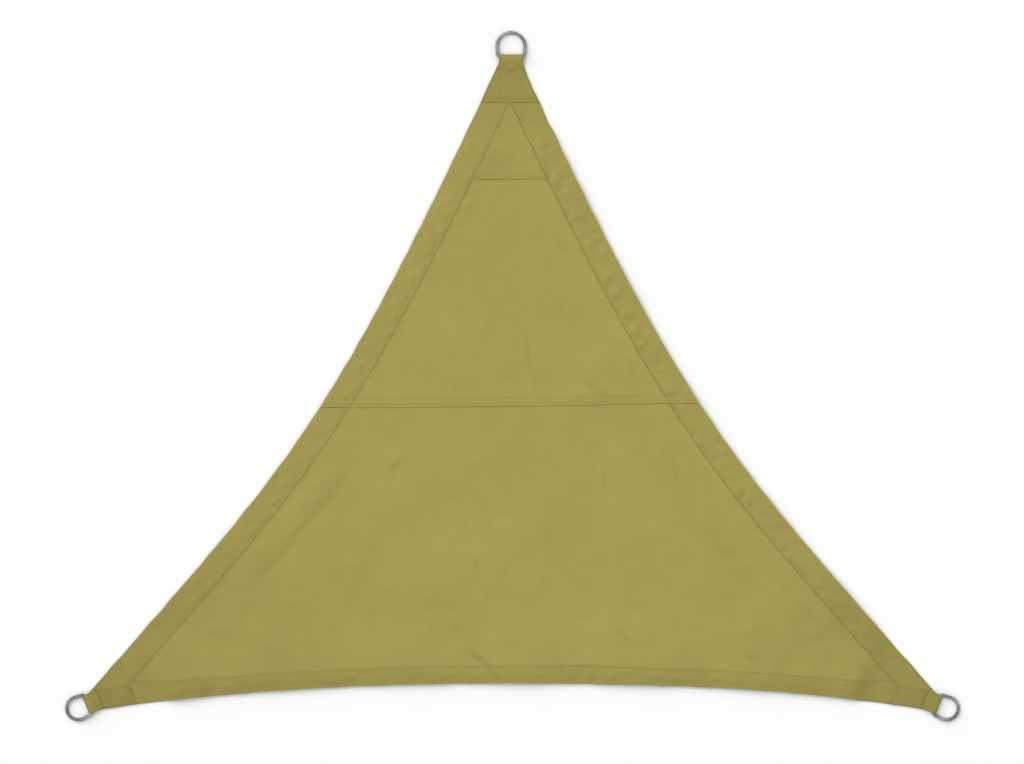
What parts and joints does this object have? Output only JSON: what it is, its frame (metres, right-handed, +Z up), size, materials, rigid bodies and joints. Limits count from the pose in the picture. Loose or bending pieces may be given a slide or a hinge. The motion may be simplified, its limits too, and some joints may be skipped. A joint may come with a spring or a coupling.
{
  "type": "triangular shade sail",
  "caption": "Triangular shade sail of lapped cloth panels with turned hems, folded corner caps and D-rings, laid flat.",
  "frame": {"origin": "middle of the footprint of the sail and its rings, on the surface that it lies on", "axes": "+X along the bottom edge to the right as seen in the picture, +Y towards the top corner, +Z up out of the cloth's upper face"},
  "size_m": [1.7888, 1.3797, 0.0096],
  "materials": {
    "sail_cloth": "matt woven awning cloth, olive",
    "cap_cloth": "matt woven awning cloth, doubled, olive",
    "ring_steel": "polished stainless steel wire"
  },
  "bodies": {
    "root": {"panel_upper": "sail_cloth", "panel_lower": "sail_cloth", "tip_patch": "sail_cloth", "corner_cap_top": "cap_cloth", "corner_cap_left": "cap_cloth", "corner_cap_right": "cap_cloth", "ring_top": "ring_steel", "ring_left": "ring_steel", "ring_right": "ring_steel"}
  },
  "joints": []
}
